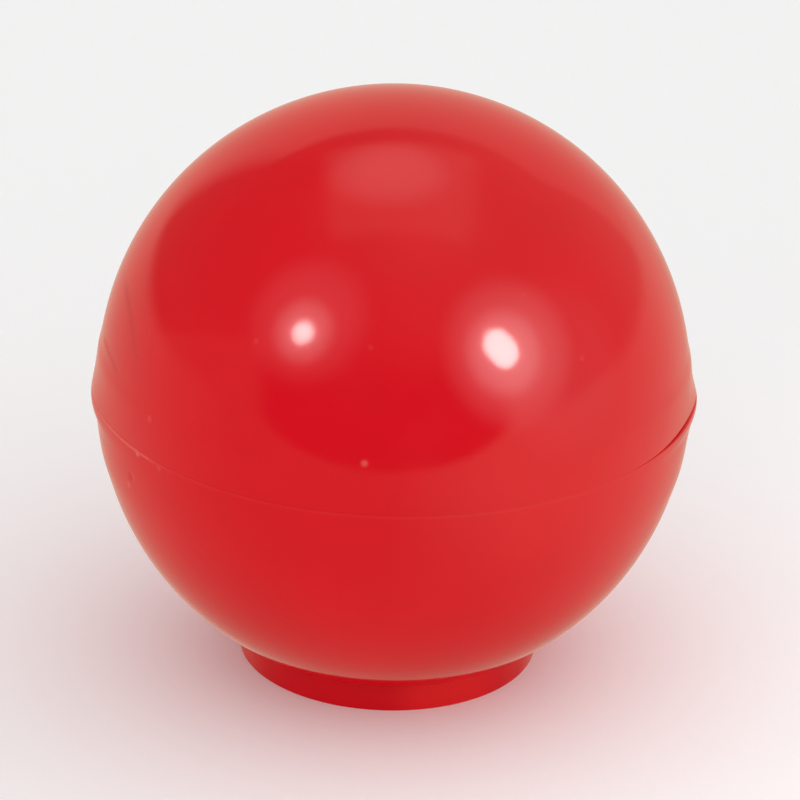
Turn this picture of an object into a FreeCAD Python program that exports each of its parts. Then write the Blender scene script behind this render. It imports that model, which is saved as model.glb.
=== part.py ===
import FreeCAD, Part
import math
import os

# Croquet ball of the cored kind, standing on a short foot collar.
# Two moulded half shells close over a composite core and are welded at the equator,
# where a tongue on the lower rim enters a groove in the upper rim. The weld leaves a low
# rounded bead all round. Under the ball a collar is bonded on a spigot of the lower shell,
# against a flat shoulder, and its lower edge is what the ball stands on.
# Every piece is a solid of revolution about the +Z axis.
# The origin is the centre of the collar's lower face. Lengths are in millimetres.

# Ball
BALL_RADIUS = 46.0
RIM_LAND = 0.95  # how far the centre of each half's curve stands off the parting plane
SHELL_CAVITY_RADIUS = 40.0

# Weld bead round the equator
BEAD_PROUD = 1.25  # past the ball's radius, as far as it comes at its widest
BEAD_FLAT = 0.3  # half the height of its blunt edge
BEAD_RISE = 3.4  # height above the parting plane where it leaves the ball's curve
BEAD_SAG = 0.15  # how far its flank bows out from a straight line

# Tongue and groove in the rims
TONGUE_INNER_RADIUS = 42.0
TONGUE_OUTER_RADIUS = 44.0
TONGUE_HEIGHT = 2.5
TONGUE_SIDE_GAP = 0.1
TONGUE_TIP_GAP = 0.2

# Foot collar
FOOT_RADIUS = 23.5
FOOT_WALL = 3.5
FOOT_DROP = 44.7  # from the parting plane down to the face the ball stands on
FOOT_EDGE_ROUND = 0.15
SPIGOT_RECESS = 1.0  # how far the spigot's flat end stays above that face
SPIGOT_GAP = 0.05

# Core
CORE_BOND_GAP = 0.1  # room for the adhesive between the core and the shells

PARTING_Z = FOOT_DROP
SPIGOT_RADIUS = FOOT_RADIUS - FOOT_WALL - SPIGOT_GAP


def curve_radius(height):
    """Radius of the ball's outside at a height above or below the parting plane."""
    return math.sqrt(BALL_RADIUS**2 - (abs(height) - RIM_LAND) ** 2)


def shoulder_drop():
    """Depth below the parting plane where the ball's curve is as wide as the collar."""
    return RIM_LAND + math.sqrt(BALL_RADIUS**2 - FOOT_RADIUS**2)


def point(radius, height):
    """A point of a half profile, with its height measured from the parting plane."""
    return FreeCAD.Vector(radius, 0, PARTING_Z + height)


def line(start, end):
    return Part.makeLine(start, end)


def arc(start, middle, end):
    return Part.Arc(start, middle, end).toShape()


def revolved(edges):
    """The solid that a closed half profile makes when it turns about the Z axis."""
    face = Part.Face(Part.Wire(edges))
    solid = face.revolve(FreeCAD.Vector(0, 0, 0), FreeCAD.Vector(0, 0, 1), 360)
    assert solid.isValid() and solid.Volume > 0
    return solid


def bead_flank(side):
    """One flank of the weld bead, from its edge to the ball's curve; side is 1 above, -1 below."""
    edge = point(BALL_RADIUS + BEAD_PROUD, side * BEAD_FLAT)
    foot = point(curve_radius(BEAD_RISE), side * BEAD_RISE)
    along = (foot - edge).normalize()
    outward = FreeCAD.Vector(abs(along.z), 0, side * abs(along.x))
    crest = (edge + foot) * 0.5 + outward * BEAD_SAG
    return arc(edge, crest, foot)


def ball_arc(side, start_height, end_radius, end_height):
    """The ball's outer curve on one side of the parting plane, between two of its points."""
    start = point(curve_radius(start_height), side * start_height)
    end = point(end_radius, side * end_height)
    start_angle = math.atan2(start_height - RIM_LAND, curve_radius(start_height))
    end_angle = math.atan2(end_height - RIM_LAND, end_radius)
    middle_angle = (start_angle + end_angle) / 2
    middle = point(
        BALL_RADIUS * math.cos(middle_angle),
        side * (RIM_LAND + BALL_RADIUS * math.sin(middle_angle)),
    )
    return arc(start, middle, end)


def cavity_arc(side):
    """Half of the round cavity's outline, from its rim to the axis."""
    middle = SHELL_CAVITY_RADIUS * math.sqrt(0.5)
    return arc(
        point(SHELL_CAVITY_RADIUS, 0),
        point(middle, side * middle),
        point(0, side * SHELL_CAVITY_RADIUS),
    )


def upper_shell():
    """The upper half of the skin, with the groove in its rim."""
    groove_inner = TONGUE_INNER_RADIUS - TONGUE_SIDE_GAP
    groove_outer = TONGUE_OUTER_RADIUS + TONGUE_SIDE_GAP
    groove_depth = TONGUE_HEIGHT + TONGUE_TIP_GAP
    bead = BALL_RADIUS + BEAD_PROUD
    top = BALL_RADIUS + RIM_LAND
    return revolved(
        [
            cavity_arc(1),
            line(point(0, SHELL_CAVITY_RADIUS), point(0, top)),
            ball_arc(1, BEAD_RISE, 0, top),
            bead_flank(1),
            line(point(bead, BEAD_FLAT), point(bead, 0)),
            line(point(bead, 0), point(groove_outer, 0)),
            line(point(groove_outer, 0), point(groove_outer, groove_depth)),
            line(point(groove_outer, groove_depth), point(groove_inner, groove_depth)),
            line(point(groove_inner, groove_depth), point(groove_inner, 0)),
            line(point(groove_inner, 0), point(SHELL_CAVITY_RADIUS, 0)),
        ]
    )


def lower_shell():
    """The lower half of the skin, with the tongue on its rim and the spigot under it."""
    bead = BALL_RADIUS + BEAD_PROUD
    shoulder = shoulder_drop()
    spigot_end = FOOT_DROP - SPIGOT_RECESS
    return revolved(
        [
            cavity_arc(-1),
            line(point(0, -SHELL_CAVITY_RADIUS), point(0, -spigot_end)),
            line(point(0, -spigot_end), point(SPIGOT_RADIUS, -spigot_end)),
            line(point(SPIGOT_RADIUS, -spigot_end), point(SPIGOT_RADIUS, -shoulder)),
            line(point(SPIGOT_RADIUS, -shoulder), point(FOOT_RADIUS, -shoulder)),
            ball_arc(-1, BEAD_RISE, FOOT_RADIUS, shoulder),
            bead_flank(-1),
            line(point(bead, -BEAD_FLAT), point(bead, 0)),
            line(point(bead, 0), point(TONGUE_OUTER_RADIUS, 0)),
            line(point(TONGUE_OUTER_RADIUS, 0), point(TONGUE_OUTER_RADIUS, TONGUE_HEIGHT)),
            line(
                point(TONGUE_OUTER_RADIUS, TONGUE_HEIGHT),
                point(TONGUE_INNER_RADIUS, TONGUE_HEIGHT),
            ),
            line(point(TONGUE_INNER_RADIUS, TONGUE_HEIGHT), point(TONGUE_INNER_RADIUS, 0)),
            line(point(TONGUE_INNER_RADIUS, 0), point(SHELL_CAVITY_RADIUS, 0)),
        ]
    )


def core():
    """The round composite core, bonded in the cavity."""
    radius = SHELL_CAVITY_RADIUS - CORE_BOND_GAP
    return revolved(
        [
            arc(point(0, -radius), point(radius, 0), point(0, radius)),
            line(point(0, radius), point(0, -radius)),
        ]
    )


def foot_collar():
    """The collar that the ball stands on, with both edges of its lower face rounded."""
    height = FOOT_DROP - shoulder_drop()
    outside = Part.makeCylinder(FOOT_RADIUS, height)
    collar = outside.cut(Part.makeCylinder(FOOT_RADIUS - FOOT_WALL, height))
    lower_edges = [edge for edge in collar.Edges if edge.BoundBox.ZMax < height / 2]
    return collar.makeFillet(FOOT_EDGE_ROUND, lower_edges)


PIECES = {
    "upper_shell": upper_shell,
    "lower_shell": lower_shell,
    "core": core,
    "foot_collar": foot_collar,
}

os.makedirs("parts", exist_ok=True)
for name, make in PIECES.items():
    piece = make()
    piece.exportStep(f"parts/{name}.step")
    print(name, f"{piece.Volume / 1000:.2f} cm3", piece.BoundBox)
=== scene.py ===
"""Looks of a glossy red croquet ball on its foot collar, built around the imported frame."""

import math

import bpy
import numpy as np
from mathutils import Matrix, Vector

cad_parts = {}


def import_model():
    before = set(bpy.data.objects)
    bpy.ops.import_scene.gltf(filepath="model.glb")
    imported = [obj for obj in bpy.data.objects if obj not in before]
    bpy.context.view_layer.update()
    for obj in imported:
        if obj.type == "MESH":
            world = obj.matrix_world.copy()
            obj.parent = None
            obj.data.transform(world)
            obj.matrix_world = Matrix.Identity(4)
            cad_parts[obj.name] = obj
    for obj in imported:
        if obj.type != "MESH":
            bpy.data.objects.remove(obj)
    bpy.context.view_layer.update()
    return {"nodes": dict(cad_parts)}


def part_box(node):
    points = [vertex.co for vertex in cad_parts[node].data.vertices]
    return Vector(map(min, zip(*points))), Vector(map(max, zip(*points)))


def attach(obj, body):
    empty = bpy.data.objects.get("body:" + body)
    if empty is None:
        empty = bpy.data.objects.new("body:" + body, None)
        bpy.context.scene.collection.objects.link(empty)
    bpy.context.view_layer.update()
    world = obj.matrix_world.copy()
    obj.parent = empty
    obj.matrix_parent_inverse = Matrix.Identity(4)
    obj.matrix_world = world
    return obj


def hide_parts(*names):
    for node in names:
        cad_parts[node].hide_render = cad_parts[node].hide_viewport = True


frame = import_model()

MM = 0.001

# Sizes that the frame gives
UPPER_LOW, UPPER_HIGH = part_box("upper_shell")
LOWER_LOW, LOWER_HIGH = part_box("lower_shell")
CORE_LOW, CORE_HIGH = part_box("core")
_, FOOT_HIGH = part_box("foot_collar")
PARTING_Z = UPPER_LOW.z
FOOT_RADIUS = FOOT_HIGH.x
SHOULDER_Z = FOOT_HIGH.z
SPIGOT_END_Z = LOWER_LOW.z
TONGUE_HEIGHT = LOWER_HIGH.z - PARTING_Z
CORE_RADIUS = (CORE_HIGH.x - CORE_LOW.x) / 2
CENTRE = Vector((0, 0, PARTING_Z))

# Sizes that no box shows
RIM_LAND = 0.95 * MM  # how far the centre of each half's curve stands off the parting plane
BALL_RADIUS = UPPER_HIGH.z - PARTING_Z - RIM_LAND
CORE_BOND_GAP = 0.1 * MM
CAVITY_RADIUS = CORE_RADIUS + CORE_BOND_GAP
TONGUE_INNER = 42.0 * MM
TONGUE_OUTER = 44.0 * MM
TONGUE_SIDE_GAP = 0.1 * MM
TONGUE_TIP_GAP = 0.2 * MM
FOOT_WALL = 3.5 * MM
SPIGOT_GAP = 0.05 * MM
SPIGOT_RADIUS = FOOT_RADIUS - FOOT_WALL - SPIGOT_GAP
FOOT_EDGE_ROUND = 0.15 * MM

# Mesh density
SEGMENTS = 384
ARC_STEP = math.radians(0.75)
RIM_ROWS = (0, 0.01, 0.025, 0.045, 0.07, 0.1, 0.14, 0.2, 0.28, 0.36, 0.44)  # mm from the rim
FIRST_SWELL_ROW = 0.6 * MM
SWELL_ROW_STEP = 0.3 * MM
CAVITY_ROWS = 46
COLLAR_WALL_ROWS = 12
COLLAR_EDGE_ROWS = 7
SHARP_ANGLE = math.radians(40)
TINY = 1e-9  # less than any real length here

# Parting line. Azimuths run anticlockwise from +X seen from above, and heights from the parting
# plane. Where the halves differ, 1 stands for the upper one and -1 for the lower one.
MISMATCH = 0.03 * MM  # how far the lower half sits off the upper one
MISMATCH_AZIMUTH = math.radians(227)  # towards the left of the front
RIM_ROUND = 0.06 * MM  # of the rim that stands proud of the other
GROOVE = {1: 0.34 * MM, -1: 0.12 * MM}  # rounding of each rim where they part at the right
GROOVE_AZIMUTH = math.radians(-17)
GROOVE_WIDTH = math.radians(13)
SWELL = 0.22 * MM  # broad swelling of both halves at the left and right
SWELL_NARROWING = 6  # the power that keeps the swelling to the sides
# The heights where it starts to fade, and ends
SWELL_FADE = {1: (6.0 * MM, 9.0 * MM), -1: (9.0 * MM, 14.0 * MM)}

# Lumps of flash on the seam: how proud, the height of the middle, how far it spreads above and
# below that, azimuth and how far it spreads round the ball
LUMPS = (
    (0.74 * MM, -1.2 * MM, 3.6 * MM, 1.9 * MM, math.radians(184), math.radians(16)),
    (0.93 * MM, -0.9 * MM, 3.0 * MM, 2.4 * MM, math.radians(2), math.radians(12)),
)

# Ledge of the lower half, where the upper one sits further in
LEDGE = 0.36 * MM
LEDGE_AZIMUTH = math.radians(-16)
LEDGE_WIDTH = math.radians(13)
LEDGE_FADE = (0.5 * MM, 2.6 * MM)

azimuths = np.linspace(0, 2 * math.pi, SEGMENTS, endpoint=False)


# ---------------------------------------------------------------- meshes


def faded(value, start, end):
    """1 up to start, falling smoothly to 0 at end."""
    share = np.clip((value - start) / (end - start), 0, 1)
    return 0.5 + 0.5 * math.cos(math.pi * share)


def around(azimuth, width):
    """How near each azimuth is to one of them: 1 there, falling off over the width."""
    away = np.angle(np.exp(1j * (azimuths - azimuth)))
    return np.exp(-((away / width) ** 2))


def proud(side, height):
    """How far one half stands proud of the plain ball at each azimuth, at a height from its rim."""
    result = side * -0.5 * MISMATCH * np.cos(azimuths - MISMATCH_AZIMUTH)
    result += SWELL * np.cos(azimuths) ** SWELL_NARROWING * faded(height, *SWELL_FADE[side])
    for size, middle, above, below, azimuth, width in LUMPS:
        away = side * height - middle
        spread = above if away > 0 else below
        result += size * math.exp(-((away / spread) ** 2)) * around(azimuth, width)
    if side < 0:
        result += LEDGE * faded(height, *LEDGE_FADE) * around(LEDGE_AZIMUTH, LEDGE_WIDTH)
    return result


def skin_radius(side, height):
    """Radius of one half's outside at each azimuth, at a height from the parting plane."""
    off_centre = max(height - RIM_LAND, 0)
    ball = math.sqrt(max(BALL_RADIUS**2 - off_centre**2, 0))
    rim_round = np.clip(proud(side, 0) - proud(-side, 0), TINY, RIM_ROUND)
    rim_round += GROOVE[side] * around(GROOVE_AZIMUTH, GROOVE_WIDTH)
    into = np.clip(1 - height / rim_round, 0, 1)
    lost = rim_round * (1 - np.sqrt(1 - into**2))
    return ball + proud(side, height) * ball / BALL_RADIUS - lost


def skin_rows(side, last_height):
    """Rows of one half's outside, from its rim towards its pole, as (radius at each azimuth, z)."""
    heights = [height * MM for height in RIM_ROWS]
    last_of_swell = SWELL_FADE[side][1]
    heights += list(np.arange(FIRST_SWELL_ROW, last_of_swell, SWELL_ROW_STEP))
    first_angle = math.asin((last_of_swell - RIM_LAND) / BALL_RADIUS)
    last_angle = math.asin(min((last_height - RIM_LAND) / BALL_RADIUS, 1))
    steps = math.ceil((last_angle - first_angle) / ARC_STEP)
    for angle in np.linspace(first_angle, last_angle, steps + 1):
        heights.append(RIM_LAND + BALL_RADIUS * math.sin(angle))
    return [(skin_radius(side, height), PARTING_Z + side * height) for height in heights]


def cavity_rows(side):
    """Rows of one half's round cavity, from its pole to its rim."""
    return [
        (CAVITY_RADIUS * math.cos(angle), PARTING_Z + side * CAVITY_RADIUS * math.sin(angle))
        for angle in np.linspace(math.pi / 2, 0, CAVITY_ROWS)
    ]


def lathe(name, rows, materials, row_material):
    """A closed solid turned about Z from rows of (radius, z), each with its material's index.

    A row with no radius is one point on the axis.
    """
    points, index = [], []
    for radius, z in rows:
        radius = np.broadcast_to(radius, azimuths.shape)
        start = len(points)
        if radius.max() < TINY:
            points.append((0, 0, z))
            index.append([start] * SEGMENTS)
        else:
            points += zip(radius * np.cos(azimuths), radius * np.sin(azimuths), [z] * SEGMENTS)
            index.append(range(start, start + SEGMENTS))
    faces, face_material = [], []
    for row in range(len(rows)):
        upper, lower = index[row], index[(row + 1) % len(rows)]
        if upper[0] == upper[1] and lower[0] == lower[1]:
            continue
        for i in range(SEGMENTS):
            j = (i + 1) % SEGMENTS
            corners = [upper[i], upper[j], lower[j], lower[i]]
            faces.append([corner for k, corner in enumerate(corners) if corner != corners[k - 1]])
            face_material.append(row_material[row])
    mesh = bpy.data.meshes.new(name)
    mesh.from_pydata(points, [], faces)
    for material in materials:
        mesh.materials.append(material)
    mesh.polygons.foreach_set("material_index", face_material)
    mesh.polygons.foreach_set("use_smooth", [True] * len(faces))
    mesh.set_sharp_from_angle(angle=SHARP_ANGLE)
    mesh.validate()
    piece = bpy.data.objects.new(name, mesh)
    bpy.context.scene.collection.objects.link(piece)
    return piece


def upper_half(skin, inside):
    """The upper half of the skin, with the groove in its rim."""
    outside = skin_rows(1, UPPER_HIGH.z - PARTING_Z)[::-1]
    groove_outer = TONGUE_OUTER + TONGUE_SIDE_GAP
    groove_inner = TONGUE_INNER - TONGUE_SIDE_GAP
    groove_top = PARTING_Z + TONGUE_HEIGHT + TONGUE_TIP_GAP
    rim = [
        (groove_outer, PARTING_Z),
        (groove_outer, groove_top),
        (groove_inner, groove_top),
        (groove_inner, PARTING_Z),
    ]
    cavity = cavity_rows(1)[::-1]
    rows = outside + rim + cavity
    material = [0] * len(outside) + [1] * (len(rows) - len(outside))
    return lathe("upper_half_skin", rows, [skin, inside], material)


def lower_half(skin, inside):
    """The lower half of the skin, with the tongue on its rim and the spigot under it."""
    shoulder = RIM_LAND + math.sqrt(BALL_RADIUS**2 - FOOT_RADIUS**2)
    outside = skin_rows(-1, shoulder)[::-1]
    spigot = [(0, SPIGOT_END_Z), (SPIGOT_RADIUS, SPIGOT_END_Z), (SPIGOT_RADIUS, SHOULDER_Z)]
    tongue_top = PARTING_Z + TONGUE_HEIGHT
    rim = [
        (TONGUE_OUTER, PARTING_Z),
        (TONGUE_OUTER, tongue_top),
        (TONGUE_INNER, tongue_top),
        (TONGUE_INNER, PARTING_Z),
    ]
    cavity = cavity_rows(-1)[::-1]
    rows = spigot + outside + rim + cavity
    visible = len(spigot) + len(outside)
    material = [0] * visible + [1] * (len(rows) - visible)
    return lathe("lower_half_skin", rows, [skin, inside], material)


def collar(plastic):
    """The foot collar, with both edges of its lower face rounded."""
    inner = FOOT_RADIUS - FOOT_WALL
    turns = np.linspace(0, math.pi / 2, COLLAR_EDGE_ROWS)
    # A quarter circle from one square face to the next, as its distances from the two
    quarter = [
        (FOOT_EDGE_ROUND * (1 - math.cos(turn)), FOOT_EDGE_ROUND * (1 - math.sin(turn)))
        for turn in turns
    ]
    outer_edge = [(FOOT_RADIUS - first, second) for first, second in quarter]
    inner_edge = [(inner + second, first) for first, second in quarter]
    wall_heights = np.linspace(SHOULDER_Z, FOOT_EDGE_ROUND, COLLAR_WALL_ROWS)[:-1]
    outer_wall = [(FOOT_RADIUS, z) for z in wall_heights]
    rows = outer_wall + outer_edge + inner_edge + [(inner, SHOULDER_Z)]
    return lathe("collar_ring", rows, [plastic], [0] * len(rows))


def direction(azimuth, elevation):
    """Unit vector from the ball, with azimuth 0 towards the front and 90 to the right, in degrees."""
    a, e = math.radians(azimuth), math.radians(elevation)
    return Vector((math.sin(a) * math.cos(e), -math.cos(a) * math.cos(e), math.sin(e)))


def on_ball(azimuth, elevation):
    """The point of the ball's surface in a direction from its centre."""
    return CENTRE + direction(azimuth, elevation) * BALL_RADIUS


# ---------------------------------------------------------------- materials


class Nodes:
    """A node tree, with short calls that add nodes to it."""

    def __init__(self, tree):
        self.tree = tree

    def add(self, kind, inputs=None, **settings):
        node = self.tree.nodes.new(kind)
        for name, value in settings.items():
            setattr(node, name, value)
        for name, value in (inputs or {}).items():
            self.feed(node.inputs[name], value)
        return node

    def feed(self, socket, value):
        if isinstance(value, bpy.types.NodeSocket):
            self.tree.links.new(value, socket)
        else:
            socket.default_value = value

    def math(self, operation, a, b=0.0, clamp=False):
        node = self.add("ShaderNodeMath", {0: a, 1: b}, operation=operation, use_clamp=clamp)
        return node.outputs["Value"]

    def total(self, values):
        """The values added up."""
        result = values[0]
        for value in values[1:]:
            result = self.math("ADD", result, value)
        return result

    def vector(self, operation, a, b):
        """The number that a vector operation gives, such as a dot product or a distance."""
        return self.add("ShaderNodeVectorMath", {0: a, 1: b}, operation=operation).outputs["Value"]

    def remap(self, value, low, high, to_low=0.0, to_high=1.0):
        """A smooth step, from to_low where the value is low to to_high where it is high."""
        inputs = {
            "Value": value,
            "From Min": low,
            "From Max": high,
            "To Min": to_low,
            "To Max": to_high,
        }
        node = self.add("ShaderNodeMapRange", inputs, interpolation_type="SMOOTHSTEP")
        return node.outputs["Result"]

    def tinted(self, value, tint, onto=(0, 0, 0)):
        """A value as a light of this tint, added onto another."""
        inputs = {0: value, 1: tint, 2: onto}
        node = self.add("ShaderNodeVectorMath", inputs, operation="MULTIPLY_ADD")
        return node.outputs["Vector"]

    def mix(self, share, a, b):
        """A colour between a and b."""
        node = self.add("ShaderNodeMix", {"Factor": share}, data_type="RGBA")
        for socket, value in ((node.inputs[6], a), (node.inputs[7], b)):
            self.feed(socket, value if isinstance(value, bpy.types.NodeSocket) else (*value, 1))
        return node.outputs[2]


class Material(Nodes):
    """A material with a Principled shader, and short calls for its surface detail."""

    def __init__(self, name):
        self.material = bpy.data.materials.new(name)
        self.material.use_nodes = True
        super().__init__(self.material.node_tree)
        self.shader = self.tree.nodes["Principled BSDF"]
        self.place = self.tree.nodes.new("ShaderNodeTexCoord").outputs["Object"]

    def set(self, **values):
        for name, value in values.items():
            self.shader.inputs[name.replace("_", " ")].default_value = value

    def plug(self, output, name):
        self.tree.links.new(output, self.shader.inputs[name])

    def noise(self, scale, detail=2.0, roughness=0.5):
        inputs = {"Vector": self.place, "Scale": scale, "Detail": detail, "Roughness": roughness}
        return self.add("ShaderNodeTexNoise", inputs).outputs["Fac"]

    def bump(self, height, distance, normal=None):
        inputs = {"Height": height, "Distance": distance, "Strength": 1.0}
        if normal is not None:
            inputs["Normal"] = normal
        return self.add("ShaderNodeBump", inputs).outputs["Normal"]

    def specks(self, cell, radius, share):
        """Scattered round spots: 1 in the middle of each, on this share of cells of this size."""
        voronoi = self.add("ShaderNodeTexVoronoi", {"Vector": self.place, "Scale": 1 / cell})
        chance = self.add("ShaderNodeSeparateColor", {"Color": voronoi.outputs["Color"]})
        chosen = self.math("GREATER_THAN", chance.outputs["Red"], 1 - share)
        size = self.remap(chance.outputs["Green"], 0, 1, 0.4 * radius / cell, radius / cell)
        nearness = self.math("DIVIDE", voronoi.outputs["Distance"], size)
        spot = self.remap(nearness, 1.0, 0.3)
        return self.math("MULTIPLY", spot, chosen)

    def spot(self, middle, radius):
        """A round spot about a point: 1 in its middle, falling to 0 at its radius."""
        return self.remap(self.vector("DISTANCE", self.place, middle), radius, 0.3 * radius)

    def crease(self, points, width):
        """A fine line on the ball, through three points, that fades out towards its ends.

        It is where the plane through the points cuts the ball.
        """
        first, middle, last = points
        across = (last - first).cross(middle - first).normalized()
        along_across = self.vector("DOT_PRODUCT", self.place, across)
        away = self.math("SUBTRACT", along_across, middle.dot(across))
        line = self.remap(self.math("ABSOLUTE", away), 0.5 * width, 0.1 * width)
        reach = max((middle - first).length, (middle - last).length)
        near = self.remap(self.vector("DISTANCE", self.place, middle), 1.4 * reach, 0.6 * reach)
        return self.math("MULTIPLY", line, near)


# Colours, in linear light
RED = (0.72, 0.0044, 0.0130)
RED_DEEP = (0.68, 0.0038, 0.0115)
# Pale for the nibs, and for the painted highlight along the seam
RED_PALE = (0.80, 0.085, 0.075)
# Painted shade in the creases
RED_CREASE_SHADE = (0.50, 0.0030, 0.0090)
COLLAR_RED = (0.68, 0.0022, 0.0105)
COLLAR_DEEP = (0.64, 0.0018, 0.0095)
# Painted sheen on the collar's wall
COLLAR_SHEEN = (0.95, 0.030, 0.026)
CORK_LIGHT = (0.30, 0.17, 0.08)
CORK_DARK = (0.14, 0.07, 0.035)
CORK_FLECK = (0.05, 0.025, 0.015)
BINDER = (0.03, 0.025, 0.022)
PAPER = ((0.92, 0.92, 0.92), (0.94, 0.94, 0.94))

# Surface of the skin: how far each kind of unevenness stands up, and how rough the plastic is
WAVE = 0.04 * MM
PEEL = 0.0035 * MM
GRAIN = 0.0025 * MM
SKIN_ROUGHNESS = (0.09, 0.13)
MOST_ROUGHNESS = 0.6

# Specks of dust under the gloss, in cells of this size, and the share of cells that hold one
SPECK_CELL = 14 * MM
SPECK_RADIUS = 0.35 * MM
SPECK_SHARE = 0.25
SPECK_PALE = 0.3

# Nibs in the moulded surface by azimuth from the front, elevation and how pale they are
NIBS = (
    (4, 80, 0.35),
    (-34, 66, 0.35),
    (-3, 48, 0.2),
    (-5, 31, 0.25),
    (-5, 10, 0.6),
    (-56, -0.7, 1.0),
    (-49, -1, 0.25),
    (-60.5, -9.3, 0.8),
    (-30, 29, 0.35),
    (41, 25, 0.25),
    (-52.5, 7.6, 0.3),
    (31, 39, 0.4),
)
NIB_RADIUS = 0.8 * MM
NIB_HEIGHT = 0.03 * MM
PIT = (-59, -7)
PIT_RADIUS = 1.2 * MM
PIT_DEPTH = 0.05 * MM
MARK_ROUGHNESS = 0.35  # added where there is a nib, the pit or the painted highlight at the seam

# Two fine creases at the left, each through three points by azimuth and elevation
CREASES = (
    ((-80, 24.3), (-68.5, 21.5), (-60.8, 16.3)),
    ((-80.6, 12.2), (-73.5, 12.0), (-67.7, 10.9)),
)
CREASE_WIDTH = 1.3 * MM
CREASE_DEPTH = 0.004 * MM
CREASE_SHADE_SHARE = 0.2  # share of the crease's painted shade
CREASE_ROUGHNESS = 0.2

# Painted highlight: a pale line under the parting line, where light catches the lower half's edge,
# strong only at the left
SEAM_HIGHLIGHT_HALF = 0.34 * MM  # half its height
SEAM_HIGHLIGHT_FADE = (-32 * MM, -39 * MM)  # where across the ball it turns from faint to strong
SEAM_HIGHLIGHT_SHARE = (0.07, 0.8)

# The place where a painted sheen makes the collar's wall paler
COLLAR_SHEEN_AZIMUTH = 24
COLLAR_SHEEN_RADIUS = 11 * MM
COLLAR_SHEEN_SHARE = 0.35

GRANULE = 2.6 * MM


def skin_material():
    """Glossy opaque red plastic, with faint flow marks, nibs, a pit, creases darkened with painted
    shade and a painted highlight along the seam.
    """
    m = Material("moulded_red_gloss")
    m.set(IOR=1.5)
    tone = m.mix(m.remap(m.noise(38, 3), 0.35, 0.7), RED, RED_DEEP)
    lines = [[on_ball(*point) for point in points] for points in CREASES]
    creases = m.total([m.crease(points, CREASE_WIDTH) for points in lines])
    # Painted shade: the creases are darkened towards a deeper red
    tone = m.mix(m.math("MULTIPLY", creases, CREASE_SHADE_SHARE), tone, RED_CREASE_SHADE)
    nibs = m.math("MULTIPLY", m.specks(SPECK_CELL, SPECK_RADIUS, SPECK_SHARE), SPECK_PALE)
    for azimuth, elevation, pale in NIBS:
        spot = m.math("MULTIPLY", m.spot(on_ball(azimuth, elevation), NIB_RADIUS), pale)
        nibs = m.math("MAXIMUM", nibs, spot)
    axes = m.add("ShaderNodeSeparateXYZ", {"Vector": m.place})
    # Painted highlight: a pale line just under the parting line, where light catches the lower half's
    # edge, strongest at the left
    from_line = m.math("ABSOLUTE", m.math("SUBTRACT", axes.outputs["Z"], PARTING_Z - SEAM_HIGHLIGHT_HALF))
    line = m.remap(from_line, SEAM_HIGHLIGHT_HALF, 0.4 * SEAM_HIGHLIGHT_HALF)
    share = m.remap(axes.outputs["X"], *SEAM_HIGHLIGHT_FADE, *SEAM_HIGHLIGHT_SHARE)
    uneven = m.remap(m.noise(260, 3), 0.3, 0.6, 0.5, 1.0)
    seam_highlight = m.math("MULTIPLY", m.math("MULTIPLY", line, share), uneven)
    m.plug(m.mix(m.math("MAXIMUM", nibs, seam_highlight), tone, RED_PALE), "Base Color")
    worn = m.remap(m.noise(55, 5, 0.6), 0.4, 0.75, *SKIN_ROUGHNESS)
    pit = m.spot(on_ball(*PIT), PIT_RADIUS)
    marks = m.math("MAXIMUM", m.math("MAXIMUM", nibs, seam_highlight), pit)
    from_marks = m.math("MULTIPLY", marks, MARK_ROUGHNESS)
    from_creases = m.math("MULTIPLY", creases, CREASE_ROUGHNESS)
    dull = m.total([worn, from_marks, from_creases])
    m.plug(m.math("MINIMUM", dull, MOST_ROUGHNESS), "Roughness")
    wave = m.bump(m.noise(45, 1), WAVE)
    peel = m.bump(m.noise(420, 2), PEEL, wave)
    grain = m.bump(m.noise(1300, 2), GRAIN, peel)
    creased = m.bump(creases, -CREASE_DEPTH, grain)
    pitted = m.bump(pit, -PIT_DEPTH, creased)
    m.plug(m.bump(nibs, NIB_HEIGHT, pitted), "Normal")
    return m.material


def inside_material():
    """The same plastic inside the shells, as the tool left it, duller and rougher."""
    m = Material("moulded_red_inside")
    m.set(IOR=1.5)
    tone = m.mix(m.remap(m.noise(90, 4), 0.3, 0.7), RED, RED_DEEP)
    m.plug(tone, "Base Color")
    m.plug(m.remap(m.noise(200, 4), 0.3, 0.7, 0.5, 0.7), "Roughness")
    m.plug(m.bump(m.noise(900, 4), 0.02 * MM), "Normal")
    return m.material


def collar_material():
    """Satin red plastic, deeper than the ball's, with a painted sheen that makes one place of its
    wall paler.
    """
    m = Material("collar_red_satin")
    m.set(IOR=1.25)
    tone = m.mix(m.remap(m.noise(120, 3), 0.3, 0.7), COLLAR_RED, COLLAR_DEEP)
    middle = direction(COLLAR_SHEEN_AZIMUTH, 0) * FOOT_RADIUS + Vector((0, 0, 0.5 * SHOULDER_Z))
    # Painted sheen: a paler patch on the collar's wall at the right of the front
    sheen_patch = m.math("MULTIPLY", m.spot(middle, COLLAR_SHEEN_RADIUS), COLLAR_SHEEN_SHARE)
    m.plug(m.mix(sheen_patch, tone, COLLAR_SHEEN), "Base Color")
    m.plug(m.remap(m.noise(160, 4), 0.3, 0.7, 0.30, 0.42), "Roughness")
    m.plug(m.bump(m.noise(700, 3), 0.004 * MM), "Normal")
    return m.material


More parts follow.
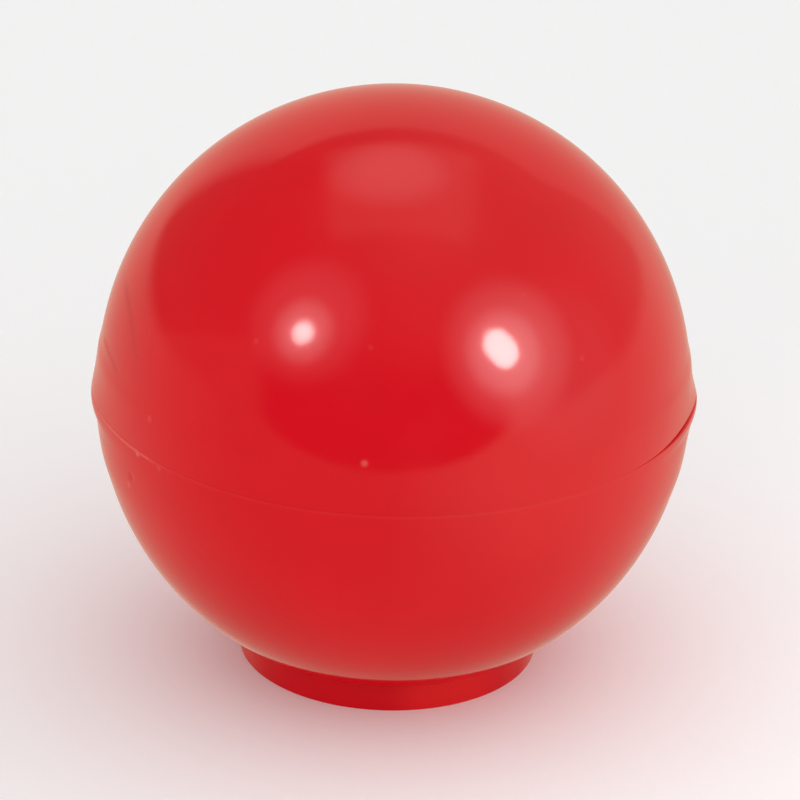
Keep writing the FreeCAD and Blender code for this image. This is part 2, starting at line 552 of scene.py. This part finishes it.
def core_material():
    """Pressed cork granules in a dark rubber binder."""
    m = Material("cork_rubber_granules")
    m.set(IOR=1.45)
    cells = {"Vector": m.place, "Scale": 1 / GRANULE}
    granule = m.add("ShaderNodeTexVoronoi", cells)
    edge = m.add("ShaderNodeTexVoronoi", cells, feature="DISTANCE_TO_EDGE")
    chance = m.add("ShaderNodeSeparateColor", {"Color": granule.outputs["Color"]})
    cork = m.mix(chance.outputs["Red"], CORK_LIGHT, CORK_DARK)
    flecked = m.mix(m.remap(m.noise(1500, 4), 0.55, 0.75), cork, CORK_FLECK)
    inside_granule = m.remap(edge.outputs["Distance"], 0.02, 0.10)
    m.plug(m.mix(inside_granule, BINDER, flecked), "Base Color")
    m.plug(m.remap(m.noise(400, 3), 0.3, 0.7, 0.75, 0.95), "Roughness")
    m.plug(m.bump(inside_granule, 0.08 * MM, m.bump(m.noise(1500, 4), 0.03 * MM)), "Normal")
    return m.material


# The floor's own glow: how strong it is, the way it grows and where along that, and how far from
# the ball it is gone and where it is whole
FLOOR_GLOW = 0.15
GLOW_TO_RIGHT, GLOW_TO_FRONT = 0.75, 0.66
GLOW_GROWS = (-0.05, 0.11)
GLOW_NEAR = (0.5, 0.15)


def floor_material():
    """Pale matt paper with a faint tooth, glowing a little at the right of the front: painted light
    that also lights the ball from below.
    """
    m = Material("pale_paper")
    m.set(IOR=1.3, Emission_Color=(1, 1, 1, 1))
    axes = m.add("ShaderNodeSeparateXYZ", {"Vector": m.place})
    to_right = m.math("MULTIPLY", axes.outputs["X"], GLOW_TO_RIGHT)
    to_front = m.math("MULTIPLY", axes.outputs["Y"], -GLOW_TO_FRONT)
    lit = m.remap(m.math("ADD", to_right, to_front), *GLOW_GROWS)
    near = m.remap(m.vector("DISTANCE", m.place, (0, 0, 0)), *GLOW_NEAR)
    # Painted light: the floor glows more towards the right of the front, lighting the ball's lower
    # right
    m.plug(m.math("MULTIPLY", m.math("MULTIPLY", lit, near), FLOOR_GLOW), "Emission Strength")
    m.plug(m.mix(m.noise(6, 3), *PAPER), "Base Color")
    m.plug(m.remap(m.noise(300, 4), 0.3, 0.7, 0.8, 0.95), "Roughness")
    m.plug(m.bump(m.noise(1200, 3), 0.02 * MM), "Normal")
    return m.material


# ---------------------------------------------------------------- studio

CAMERA_DISTANCE = 14.69 * BALL_RADIUS
CAMERA_ELEVATION = 24.42
CAMERA_ROLL = math.radians(1.49)
CAMERA_LENS = 195.5  # mm, on a sensor 36 mm wide
AIM_RIGHT = 0.97 * MM  # the camera looks this far beside and below the ball's centre
AIM_DOWN = 2.26 * MM


def camera():
    """A long lens in front and above, rolled slightly to one side."""
    data = bpy.data.cameras.new("camera")
    data.sensor_width = 36
    data.lens = CAMERA_LENS
    data.clip_start = 0.01
    obj = bpy.data.objects.new("camera", data)
    bpy.context.scene.collection.objects.link(obj)
    back = direction(0, CAMERA_ELEVATION)
    level = Vector((1, 0, 0))
    above = back.cross(level)
    right = level * math.cos(CAMERA_ROLL) + above * math.sin(CAMERA_ROLL)
    up = back.cross(right)
    place = CENTRE + back * CAMERA_DISTANCE
    aim = CENTRE + right * AIM_RIGHT - up * AIM_DOWN
    back = (place - aim).normalized()
    right = up.cross(back).normalized()
    up = back.cross(right)
    axes = Matrix((right, up, back)).transposed().to_4x4()
    obj.matrix_world = Matrix.Translation(place) @ axes
    bpy.context.scene.camera = obj


BACKDROP = (0.90, 0.90, 0.90)  # what the camera sees beyond the floor
ROOM_TINT = (1.4, 1.0, 0.78)
LAMP_TINT = (1.0, 1.0, 0.99)
BRIGHTEST = 19.5  # radiance of the brightest lamp
EVEN_LIGHT = (0.95, 0.98)  # on everything but gloss, from the left and from the right
EVEN_LIGHT_AZIMUTH = 75
FLOOR_HALF = 3.0

# Soft round lights: azimuth, elevation, how wide its even middle and its whole are from
# the centre out, in degrees, and radiance
LIGHTS = (
    (-44.0, 34.9, 3.0, 4.9, 15.5),
    (-44.0, 35.5, 4.0, 14.0, 1.9),
    (-44.5, 40.0, 6.0, 27.0, 0.60),
    (47.1, 31.0, 4.4, 6.4, 19.5),
    (48.8, 28.0, 4.4, 6.4, 19.5),
    (49.0, 27.5, 6.0, 18.0, 2.2),
    (52.0, 27.0, 5.0, 30.0, 1.35),
    (70.0, 14.0, 8.0, 34.0, 0.25),
    (-173.0, 69.5, 3.0, 20.0, 0.62),
)


def glow(n, way, azimuth, elevation, inner, outer, radiance):
    """A round soft light in one direction."""
    nearness = n.vector("DOT_PRODUCT", way, direction(azimuth, elevation))
    edge = math.cos(math.radians(outer))
    even = math.cos(math.radians(inner))
    return n.remap(nearness, edge, even, 0, radiance)


# The room that the gloss mirrors, by direction: across to the right, deep to the back, and high.
# Each edge is a smooth step, as (where it is 0, where it is 1), along one of those, or over the
# place on a board. That is (beside, above) on the board behind and (beside, deep) on the one
# overhead, as shares of the distance to it.
WALLS = (0.15, 0.38)  # radiance at the left and at the right
WALLS_CHANGE = (-0.5, 0.6)
CEILING = 0.15
CEILING_EDGE = (0.80, 1.0)

BEHIND = 0.53
BEHIND_FRONT = (0.05, 0.25)
BEHIND_LEFT = (-0.98, -0.50)
BEHIND_RIGHT = (1.05, 0.84)
BEHIND_TOP = (1.03, 0.87)

AT_LEFT = 0.25
AT_LEFT_TILT = (0.24, 0.55)  # how much its top edge falls across, and towards the back
AT_LEFT_TOP = (0.03, -0.03)
AT_LEFT_RIGHT = (-0.1, -0.3)

OVERHEAD = 0.25
OVERHEAD_LOW = (0.35, 0.5)
OVERHEAD_LEFT = (-0.48, -0.32)
OVERHEAD_RIGHT = (0.52, 0.34)
OVERHEAD_FRONT = (-0.22, -0.07)
OVERHEAD_BACK = (0.85, 0.70)

TABLE = 0.25
TABLE_RIGHT = 0.42  # added at the right
TABLE_RIGHT_GROWS = (-0.15, 0.75)
TABLE_BACK = 0.29  # added at the back
TABLE_BACK_GROWS = (-0.6, 0.6)
TABLE_NEAR = (-1.12, -0.3)  # under the ball it gets less of what is added
TABLE_END = (0.0, 0.12)

# The dark gap in front has upright sides and ends below in half an ellipse
GAP = 0.92  # share of the light that it takes away
GAP_MIDDLE = 0.04  # to the left
GAP_TOP = 0.1
GAP_HALF_WIDTH = 0.75
GAP_DEPTH = 0.29
GAP_EDGE = (1.15, 0.80)
GAP_BACK = (-0.2, -0.4)
GAP_FADES_UP = (0.85, 0.25)

LEAST = 0.05  # the least that a place on a board is divided by


def stepped(n, most, *steps):
    """A number times smooth steps, each given as (value, its edge)."""
    value, edge = steps[0]
    result = n.remap(value, *edge, 0, most)
    for value, edge in steps[1:]:
        result = n.math("MULTIPLY", result, n.remap(value, *edge))
    return result


def over_the_table(n, across, deep, high):
    """Walls and ceiling, with white boards behind, at the left and overhead."""
    walls = n.remap(across, *WALLS_CHANGE, *WALLS)
    ceiling = stepped(n, CEILING, (high, CEILING_EDGE))
    depth = n.math("MAXIMUM", deep, LEAST)
    beside = n.math("DIVIDE", across, depth)
    above = n.math("DIVIDE", high, depth)
    behind = stepped(
        n,
        BEHIND,
        (deep, BEHIND_FRONT),
        (beside, BEHIND_LEFT),
        (beside, BEHIND_RIGHT),
        (above, BEHIND_TOP),
    )
    tilt_across, tilt_deep = (
        n.math("MULTIPLY", value, tilt) for value, tilt in zip((across, deep), AT_LEFT_TILT)
    )
    slant = n.total([high, tilt_across, tilt_deep])
    at_left = stepped(n, AT_LEFT, (slant, AT_LEFT_TOP), (across, AT_LEFT_RIGHT))
    height = n.math("MAXIMUM", high, LEAST)
    overhead_x = n.math("DIVIDE", across, height)
    overhead_y = n.math("DIVIDE", deep, height)
    overhead = stepped(
        n,
        OVERHEAD,
        (high, OVERHEAD_LOW),
        (overhead_x, OVERHEAD_LEFT),
        (overhead_x, OVERHEAD_RIGHT),
        (overhead_y, OVERHEAD_FRONT),
        (overhead_y, OVERHEAD_BACK),
    )
    boards = n.math("MAXIMUM", behind, at_left)
    return n.math("MAXIMUM", n.total([walls, ceiling, overhead]), boards)


def table(n, across, deep, high):
    """A table that is lighter at the right and at the back."""
    right = stepped(n, TABLE_RIGHT, (across, TABLE_RIGHT_GROWS))
    back = stepped(n, TABLE_BACK, (deep, TABLE_BACK_GROWS))
    added = n.math("MULTIPLY", n.math("MAXIMUM", right, back), n.remap(high, *TABLE_NEAR))
    return n.math("ADD", added, TABLE)


def gap(n, across, deep, high):
    """The share of the light that the dark gap in front takes away."""
    from_middle = n.math("DIVIDE", n.math("ADD", across, GAP_MIDDLE), GAP_HALF_WIDTH)
    below_top = n.math("MINIMUM", n.math("SUBTRACT", high, GAP_TOP), 0)
    below_top = n.math("DIVIDE", below_top, GAP_DEPTH)
    width_part = n.math("MULTIPLY", from_middle, from_middle)
    depth_part = n.math("MULTIPLY", below_top, below_top)
    ellipse = n.math("ADD", width_part, depth_part)
    return stepped(n, GAP, (ellipse, GAP_EDGE), (deep, GAP_BACK), (high, GAP_FADES_UP))


def room(n, way):
    """What the gloss mirrors in a direction."""
    axes = n.add("ShaderNodeSeparateXYZ", {"Vector": way})
    place = [axes.outputs[axis] for axis in "XYZ"]
    above_table = n.remap(place[2], *TABLE_END)
    upper = n.math("MULTIPLY", over_the_table(n, *place), above_table)
    lower = n.math("MULTIPLY", table(n, *place), n.math("SUBTRACT", 1, above_table))
    light = n.math("SUBTRACT", 1, gap(n, *place))
    return n.math("MULTIPLY", n.math("ADD", upper, lower), light)


def world():
    """Even soft light on every surface, a room of soft lamps in its gloss, and a plain backdrop."""
    w = bpy.data.worlds.new("studio")
    bpy.context.scene.world = w
    w.use_nodes = True
    w.cycles.sampling_method = "NONE"
    n = Nodes(w.node_tree)
    way = n.add("ShaderNodeTexCoord").outputs["Generated"]
    from_right = n.vector("DOT_PRODUCT", way, direction(EVEN_LIGHT_AZIMUTH, 0))
    even = n.remap(from_right, -1.0, 1.0, *EVEN_LIGHT)
    lamps = n.math("MINIMUM", n.total([glow(n, way, *light) for light in LIGHTS]), BRIGHTEST)
    lit = n.tinted(lamps, LAMP_TINT)
    mirrored = n.tinted(room(n, way), ROOM_TINT, lit)
    ray = n.add("ShaderNodeLightPath").outputs
    light = n.mix(ray["Is Glossy Ray"], n.mix(even, (0, 0, 0), (1, 1, 1)), mirrored)
    background = n.tree.nodes["Background"]
    n.feed(background.inputs["Color"], n.mix(ray["Is Camera Ray"], light, BACKDROP))
    background.inputs["Strength"].default_value = 1.0


def floor():
    """A wide pale floor under the ball."""
    mesh = bpy.data.meshes.new("floor")
    corners = [(x * FLOOR_HALF, y * FLOOR_HALF, 0) for x, y in ((-1, -1), (1, -1), (1, 1), (-1, 1))]
    mesh.from_pydata(corners, [], [(0, 1, 2, 3)])
    mesh.materials.append(floor_material())
    obj = bpy.data.objects.new("floor", mesh)
    bpy.context.scene.collection.objects.link(obj)
    obj.visible_glossy = False  # the gloss mirrors the table of the studio's room instead


# ---------------------------------------------------------------- assembly

skin = skin_material()
inside = inside_material()
for piece, node, slot in (
    (upper_half(skin, inside), "upper_shell", "ball_skin"),
    (lower_half(skin, inside), "lower_shell", "ball_skin"),
    (collar(collar_material()), "foot_collar", "collar_plastic"),
):
    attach(piece, "root")
    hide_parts(node)

core = frame["nodes"]["core"]
core.data.materials.clear()
core.data.materials.append(core_material())

floor()
world()
camera()
bpy.context.scene.view_settings.view_transform = "Standard"
